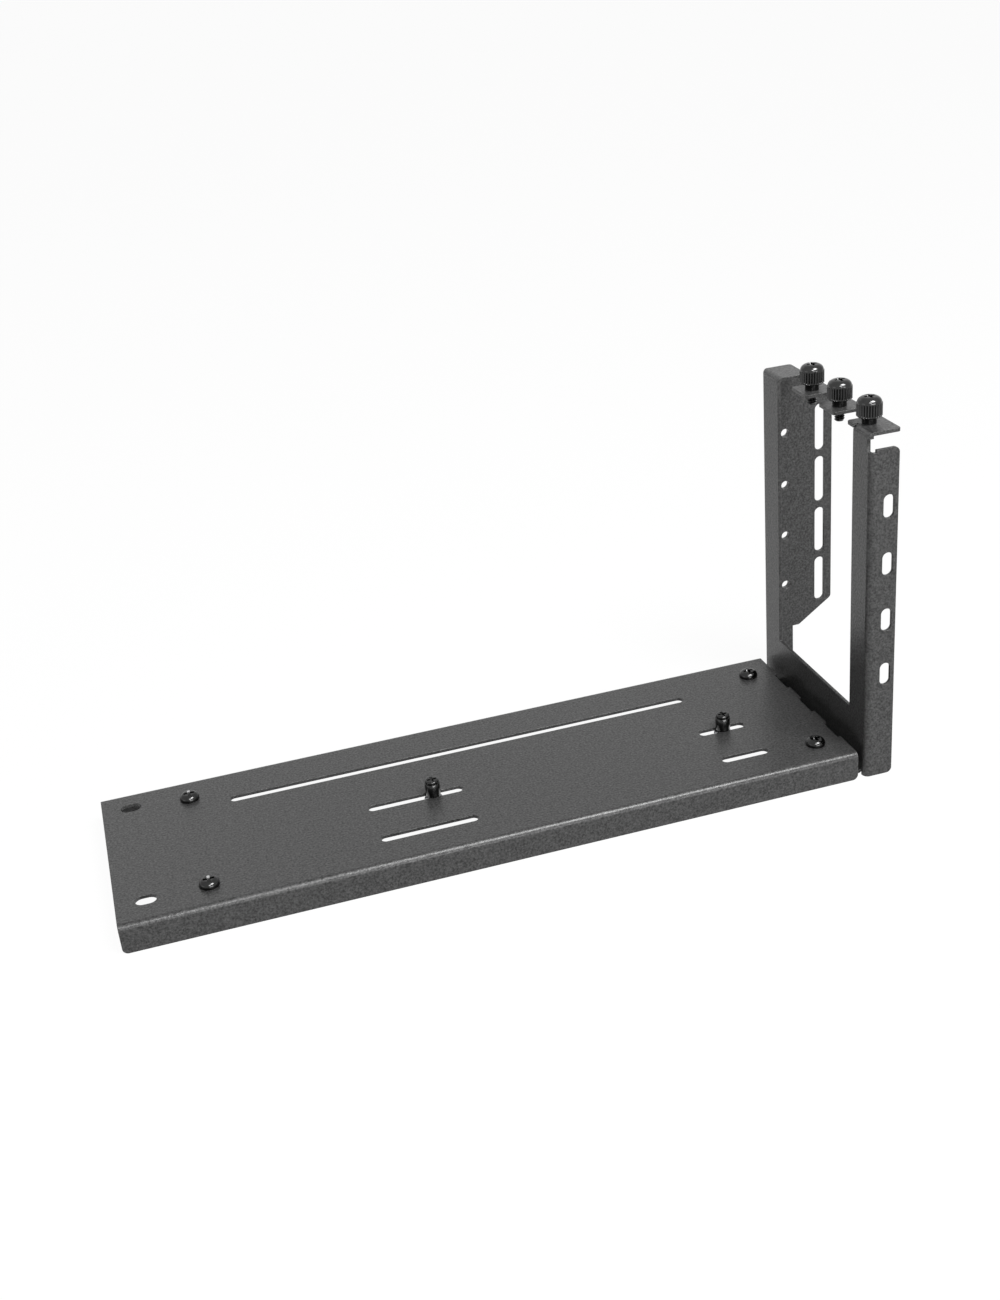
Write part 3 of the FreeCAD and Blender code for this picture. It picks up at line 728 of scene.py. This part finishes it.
def thumb_screw(node, name, body):
    """A knurled knob with a domed crown on a neck and a threaded shank."""
    centre, _, bottom, top = place_of(node)
    foot = top - DOME_HEIGHT - RIM_HEIGHT
    base = foot - NECK_LENGTH
    knurl_foot = foot + KNOB_CHAMFER
    shoulder = foot + RIM_HEIGHT
    band = RIM_HEIGHT - KNOB_CHAMFER
    profile = shank(THREAD_RADIUS, bottom, base, COARSE_PITCH, THREAD_CHAMFER)
    profile += [(NECK_RADIUS, base), (NECK_RADIUS, foot - NECK_FLARE), (NECK_RADIUS + NECK_FLARE, foot)]
    profile += [(KNOB_RADIUS - KNOB_CHAMFER, foot)]
    profile += [(KNOB_RADIUS, knurl_foot + band * row / RIM_ROWS) for row in range(RIM_ROWS + 1)]
    profile += [(KNOB_RADIUS - SHOULDER_IN, shoulder + SHOULDER_UP)]
    profile += quarter(profile[-1], (DOME_FLAT, top), DOME_ROWS)[:-1]
    profile += [(DOME_FLAT, top), (0, top)]
    piece = turned(name, profile, centre, steps=RIBS * STEPS_PER_RIB)
    cut_thread(piece, centre, THREAD_RADIUS, bottom, base, COARSE_PITCH, THREAD_DEPTH, KNOB_PLATING)
    run_tree(piece, KNURL, Centre=tuple(centre), Count=float(RIBS), Depth=RIB_DEPTH, Bottom=knurl_foot,
             Top=shoulder, Fade=RIB_FADE, Skin=KNOB_RADIUS * KNOB_SKIN_SHARE, Material=KNOB_PLATING)
    settle(piece)
    cut_recess(piece, centre, top, RECESS_REACH, RECESS_HALF, KNOB_RECESS)
    return dress(piece, KNOB_PLATING, body, node)


thumb_screws = [thumb_screw(f"thumb_screw_{position}", f"knurled_screw_{position}", f"thumbscrew_{position}")
                for position in ("front", "middle", "back")]
print("thumbscrews:", len(thumb_screws), "triangles:", triangles(thumb_screws))

# %% [markdown]
# ## Plate screws
#
# Four pan-head screws with a low crown and a cross recess. Their threads end in nuts under the sheets.

# %% Four plate screws
HEAD_RADIUS = 3.4 * MM
HEAD_RIM = 0.6 * MM
HEAD_HEIGHT = 2.4 * MM
HEAD_CHAMFER = 0.15 * MM
HEAD_FLAT = 1.5 * MM
HEAD_ROWS = 10
HEAD_RECESS = 1.4 * MM
SMALL_STEPS = 72


def plate_screw(node, name):
    """A pan-head screw with its thread."""
    centre, _, bottom, top = place_of(node)
    base = top - HEAD_HEIGHT
    profile = shank(THREAD_RADIUS, bottom, base, COARSE_PITCH, THREAD_CHAMFER)
    profile += [(HEAD_RADIUS - HEAD_CHAMFER, base), (HEAD_RADIUS, base + HEAD_CHAMFER)]
    profile += [(HEAD_RADIUS, base + HEAD_RIM)]
    profile += quarter(profile[-1], (HEAD_FLAT, top), HEAD_ROWS)
    profile += [(0, top)]
    piece = turned(name, profile, centre, steps=SMALL_STEPS)
    cut_thread(piece, centre, THREAD_RADIUS, bottom, base, COARSE_PITCH, THREAD_DEPTH, BLACK_PLATING)
    settle(piece)
    cut_recess(piece, centre, top, RECESS_REACH, RECESS_HALF, HEAD_RECESS)
    return dress(piece, BLACK_PLATING, "frame", node)


plate_screws = [plate_screw(f"plate_screw_{depth}_{side}", f"pan_screw_{depth}_{side}")
                for side in ("left", "right") for depth in ("front", "back")]
print("plate screws:", len(plate_screws), "triangles:", triangles(plate_screws))

# %% [markdown]
# ## Riser posts
#
# Two short round posts stand on the lips of a slot. A slim screw with a cheese head of nearly the same width
# goes down through each, and a washer and a nut hold it from below. All of them slide along the slot, so the
# post and the washer keep a hair's breadth off the plate and no two faces fight for one place. The nuts and
# standoffs of the plate screws are made here too, because they have the same shapes.

# %% Posts, screws, washers and nuts
SLIDE_ROOM = 0.02 * MM
RING_CHAMFER = 0.10 * MM
LOOSE_BORE = 1.36 * MM
FINE_PITCH = 0.45 * MM
FINE_DEPTH = 0.22 * MM
FINE_CHAMFER = 0.2 * MM
BOLT_RADIUS = 1.24 * MM
BOLT_HEAD = 1.2 * MM
BOLT_CHAMFER = 0.1 * MM
BOLT_ROUND = 0.55 * MM
BOLT_ROWS = 4
BOLT_STEPS = 60
BOLT_RECESS = (1.75 * MM, 0.44 * MM, 0.85 * MM)


def ring_piece(node, name, body, bore, edge, material, under=0.0, above=0.0):
    """A plain ring with bevelled rims. under and above are what a sliding one leaves free there."""
    centre, outside, bottom, top = place_of(node)
    bottom, top = bottom + under, top - above
    profile = [
        (bore, bottom), (outside - edge, bottom), (outside, bottom + edge),
        (outside, top - edge), (outside - edge, top), (bore, top),
    ]
    return dress(turned(name, profile, centre, steps=SMALL_STEPS, ring=True), material, body, node)


def post_screw(node, name, body):
    """A slim screw with a rounded cheese head."""
    centre, head, bottom, top = place_of(node)
    base = top - BOLT_HEAD
    profile = shank(BOLT_RADIUS, bottom, base, FINE_PITCH, FINE_CHAMFER)
    profile += [(head - BOLT_CHAMFER, base), (head, base + BOLT_CHAMFER), (head, top - BOLT_ROUND)]
    profile += quarter(profile[-1], (head - BOLT_ROUND, top), BOLT_ROWS)
    profile += [(0, top)]
    piece = turned(name, profile, centre, steps=BOLT_STEPS)
    cut_thread(piece, centre, BOLT_RADIUS, bottom, base, FINE_PITCH, FINE_DEPTH, BLACK_PLATING)
    settle(piece)
    cut_recess(piece, centre, top, *BOLT_RECESS)
    return dress(piece, BLACK_PLATING, body, node)


# %% Hexagon nuts
SIXTH = TURN / 6
NUT_CHAMFER_SHARE = 0.8
NUT_FACE_SHARE = 0.995
NUT_WALL_SHARE = 0.9


def nut(node, name, body, bore):
    """A chamfered hexagon nut with a corner along X, as its CAD node has."""
    centre, corner, bottom, top = place_of(node)
    low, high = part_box(node)
    from_middle = (high.y - low.y) / 2
    edge = (corner - from_middle) * NUT_CHAMFER_SHARE
    face = from_middle * NUT_FACE_SHARE
    profile = [
        (bore, bottom), (face, bottom), (corner, bottom + edge),
        (corner, top - edge), (face, top), (bore, top),
    ]

    def hexagon(radius, angle):
        """Leaves the bore round and holds the wall to six flats."""
        if radius < face * NUT_WALL_SHARE:
            return radius
        return min(radius, from_middle / math.cos(angle % SIXTH - SIXTH / 2))

    piece = turned(name, profile, centre, steps=SMALL_STEPS, shape=hexagon, ring=True)
    return dress(piece, ZINC_PLATING, body, node)


# %% Place the posts and what holds them
WELD_BORE = 1.81 * MM
POST_NUT_BORE = 1.31 * MM
STANDOFF_CHAMFER = 0.25 * MM

small_pieces = []
for side in ("left", "right"):
    body = f"post_{side}"
    small_pieces += [
        ring_piece(f"riser_post_{side}", f"round_post_{side}", body, LOOSE_BORE, RING_CHAMFER, BLACK_PLATING,
                   under=SLIDE_ROOM),
        post_screw(f"post_screw_{side}", f"cheese_screw_{side}", body),
        ring_piece(f"post_washer_{side}", f"flat_washer_{side}", body, LOOSE_BORE, RING_CHAMFER, ZINC_PLATING,
                   above=SLIDE_ROOM),
        nut(f"post_nut_{side}", f"hex_nut_{side}", body, POST_NUT_BORE),
    ]
for depth in ("front", "back"):
    small_pieces += [
        nut(f"weld_nut_{depth}", f"hex_weld_nut_{depth}", "frame", WELD_BORE),
        ring_piece(f"foot_standoff_{depth}", f"round_standoff_{depth}", "frame", WELD_BORE, STANDOFF_CHAMFER,
                   ZINC_PLATING),
    ]
print("posts and what holds them:", len(small_pieces), "triangles:", triangles(small_pieces))

# %% [markdown]
# ## Floor and backdrop
#
# The photograph is a cut-out on pure white. White can't come from more light, because the black coat would turn
# grey in it. Instead the pale floor glows near white to rays from the camera and to mirrored rays, so that the
# slots read white and the metal mirrors a white room. The share of the floor that doesn't glow keeps a trace of
# the object's shadow. The world behind it does the same, and gives next to no light of its own.

# %% Floor and world
FLOOR_GLOW = 0.96
FLOOR_COLOUR = grey(0.80)
FLOOR_ROUGHNESS = 0.9
FLOOR_HALF = 6.0
WORLD_LEVEL = 0.02
WHITE = grey(1.0)


def seen_rays(graph):
    """1 for rays from the camera and for mirrored and refracted ones, 0 for the rays that light the object."""
    path = graph.tree.nodes.new("ShaderNodeLightPath")
    kinds = ("Is Camera Ray", "Is Glossy Ray", "Is Transmission Ray")
    camera_ray, mirrored, through = (Value(graph, path.outputs[kind]) for kind in kinds)
    return (camera_ray + mirrored + through).maths("MINIMUM", 1.0)


def floor_finish():
    """A pale matt floor that glows to the rays that are seen."""
    material, graph, shader = new_finish("pale_floor")
    nodes = material.node_tree.nodes
    shader.inputs["Base Color"].default_value = FLOOR_COLOUR
    shader.inputs["Roughness"].default_value = FLOOR_ROUGHNESS
    glow = nodes.new("ShaderNodeEmission")
    glow.inputs["Color"].default_value = WHITE
    mixed = graph.add("ShaderNodeMixShader", inputs={
        0: seen_rays(graph) * FLOOR_GLOW, 1: Value(graph, shader.outputs[0]), 2: Value(graph, glow.outputs[0]),
    })
    graph.feed(mixed, nodes["Material Output"].inputs["Surface"])
    return material


floor_mesh = bpy.data.meshes.new("floor")
corners = [(x * FLOOR_HALF, y * FLOOR_HALF, 0) for x, y in ((-1, -1), (1, -1), (1, 1), (-1, 1))]
floor_mesh.from_pydata(corners, [], [(0, 1, 2, 3)])
floor_mesh.materials.append(floor_finish())
floor = linked("floor", floor_mesh)

world = bpy.data.worlds.new("studio")
bpy.context.scene.world = world
world.use_nodes = True
world_graph = Graph(world.node_tree)
background = world.node_tree.nodes["Background"]
background.inputs["Color"].default_value = WHITE
level = seen_rays(world_graph) * (1.0 - WORLD_LEVEL) + WORLD_LEVEL
world_graph.feed(level, background.inputs["Strength"])
print("floor:", floor.name, "world:", world.name)

# %% [markdown]
# ## Lamps
#
# Black objects are drawn by what they mirror. A large soft lamp high in front does most of the work and draws
# the long highlight along the front bend. A second one to its left reaches the left end of the plate, a low wide
# one lights the front flange, and four faint ones keep the other sides from going flat. Each stands on a sphere
# round the object and faces it.

# %% Lamps
AIM = Vector((0.0, 0.0, 0.04))


def softbox(name, azimuth, elevation, distance, size, power):
    """A rectangular lamp that faces the object. Azimuth 0 is the front and 90 the right, in degrees."""
    side, height = math.radians(azimuth), math.radians(elevation)
    reach = math.cos(height)
    place = AIM + distance * Vector((math.sin(side) * reach, -math.cos(side) * reach, math.sin(height)))
    data = bpy.data.lights.new(name, "AREA")
    data.shape = "RECTANGLE"
    data.size, data.size_y = size
    data.energy = power
    lamp = linked(name, data)
    lamp.location = place
    lamp.rotation_euler = (AIM - place).to_track_quat("-Z", "Y").to_euler()
    return lamp


lamps = [
    softbox("key_high", 30, 57, distance=1.1, size=(0.45, 0.45), power=18.0),
    softbox("key_left", -8, 42, distance=1.1, size=(0.35, 0.35), power=6.0),
    softbox("key_right", 44, 52, distance=1.1, size=(0.35, 0.35), power=1.2),
    softbox("front_low", 10, 10, distance=1.3, size=(0.9, 0.3), power=7.0),
    softbox("left_low", -80, 8, distance=1.2, size=(0.7, 0.3), power=0.6),
    softbox("back_left", -160, 36, distance=1.2, size=(0.6, 0.4), power=0.3),
    softbox("back_middle", 175, 36, distance=1.2, size=(0.6, 0.4), power=0.1),
]
print("lamps:", len(lamps), "power in all:", round(sum(lamp.data.energy for lamp in lamps), 1), "W")

# %% [markdown]
# ## Camera
#
# The camera stands where the photograph was taken from. Its place, direction, roll and focal length were found by
# fitting the edges of the bracket to the same edges in the photograph.

# %% Camera at the photograph's angle
CAMERA_PLACE = Vector((-118.25, -471.32, 298.475)) * MM
AZIMUTH = math.radians(13.963)
ELEVATION = math.radians(26.436)
ROLL = math.radians(5.470)
FOCAL_LENGTH = 44.171
SENSOR_WIDTH = 36.0
NEAREST = 0.01
FARTHEST = 50.0

reach = math.cos(ELEVATION)
forward = Vector((math.sin(AZIMUTH) * reach, math.cos(AZIMUTH) * reach, -math.sin(ELEVATION)))
right = Vector((math.cos(AZIMUTH), -math.sin(AZIMUTH), 0.0))
down = forward.cross(right)
across = right * math.cos(ROLL) + down * math.sin(ROLL)
below = down * math.cos(ROLL) - right * math.sin(ROLL)
turn = Matrix((across, -below, -forward)).transposed()
camera_data = bpy.data.cameras.new("camera")
camera_data.lens = FOCAL_LENGTH
camera_data.sensor_width = SENSOR_WIDTH
camera_data.clip_start = NEAREST
camera_data.clip_end = FARTHEST
camera = linked("camera", camera_data)
camera.matrix_world = Matrix.Translation(CAMERA_PLACE) @ turn.to_4x4()
bpy.context.scene.camera = camera
bpy.context.scene.view_settings.view_transform = "Standard"
print("camera", round(camera_data.lens, 1), "mm, from", [round(part, 3) for part in CAMERA_PLACE])
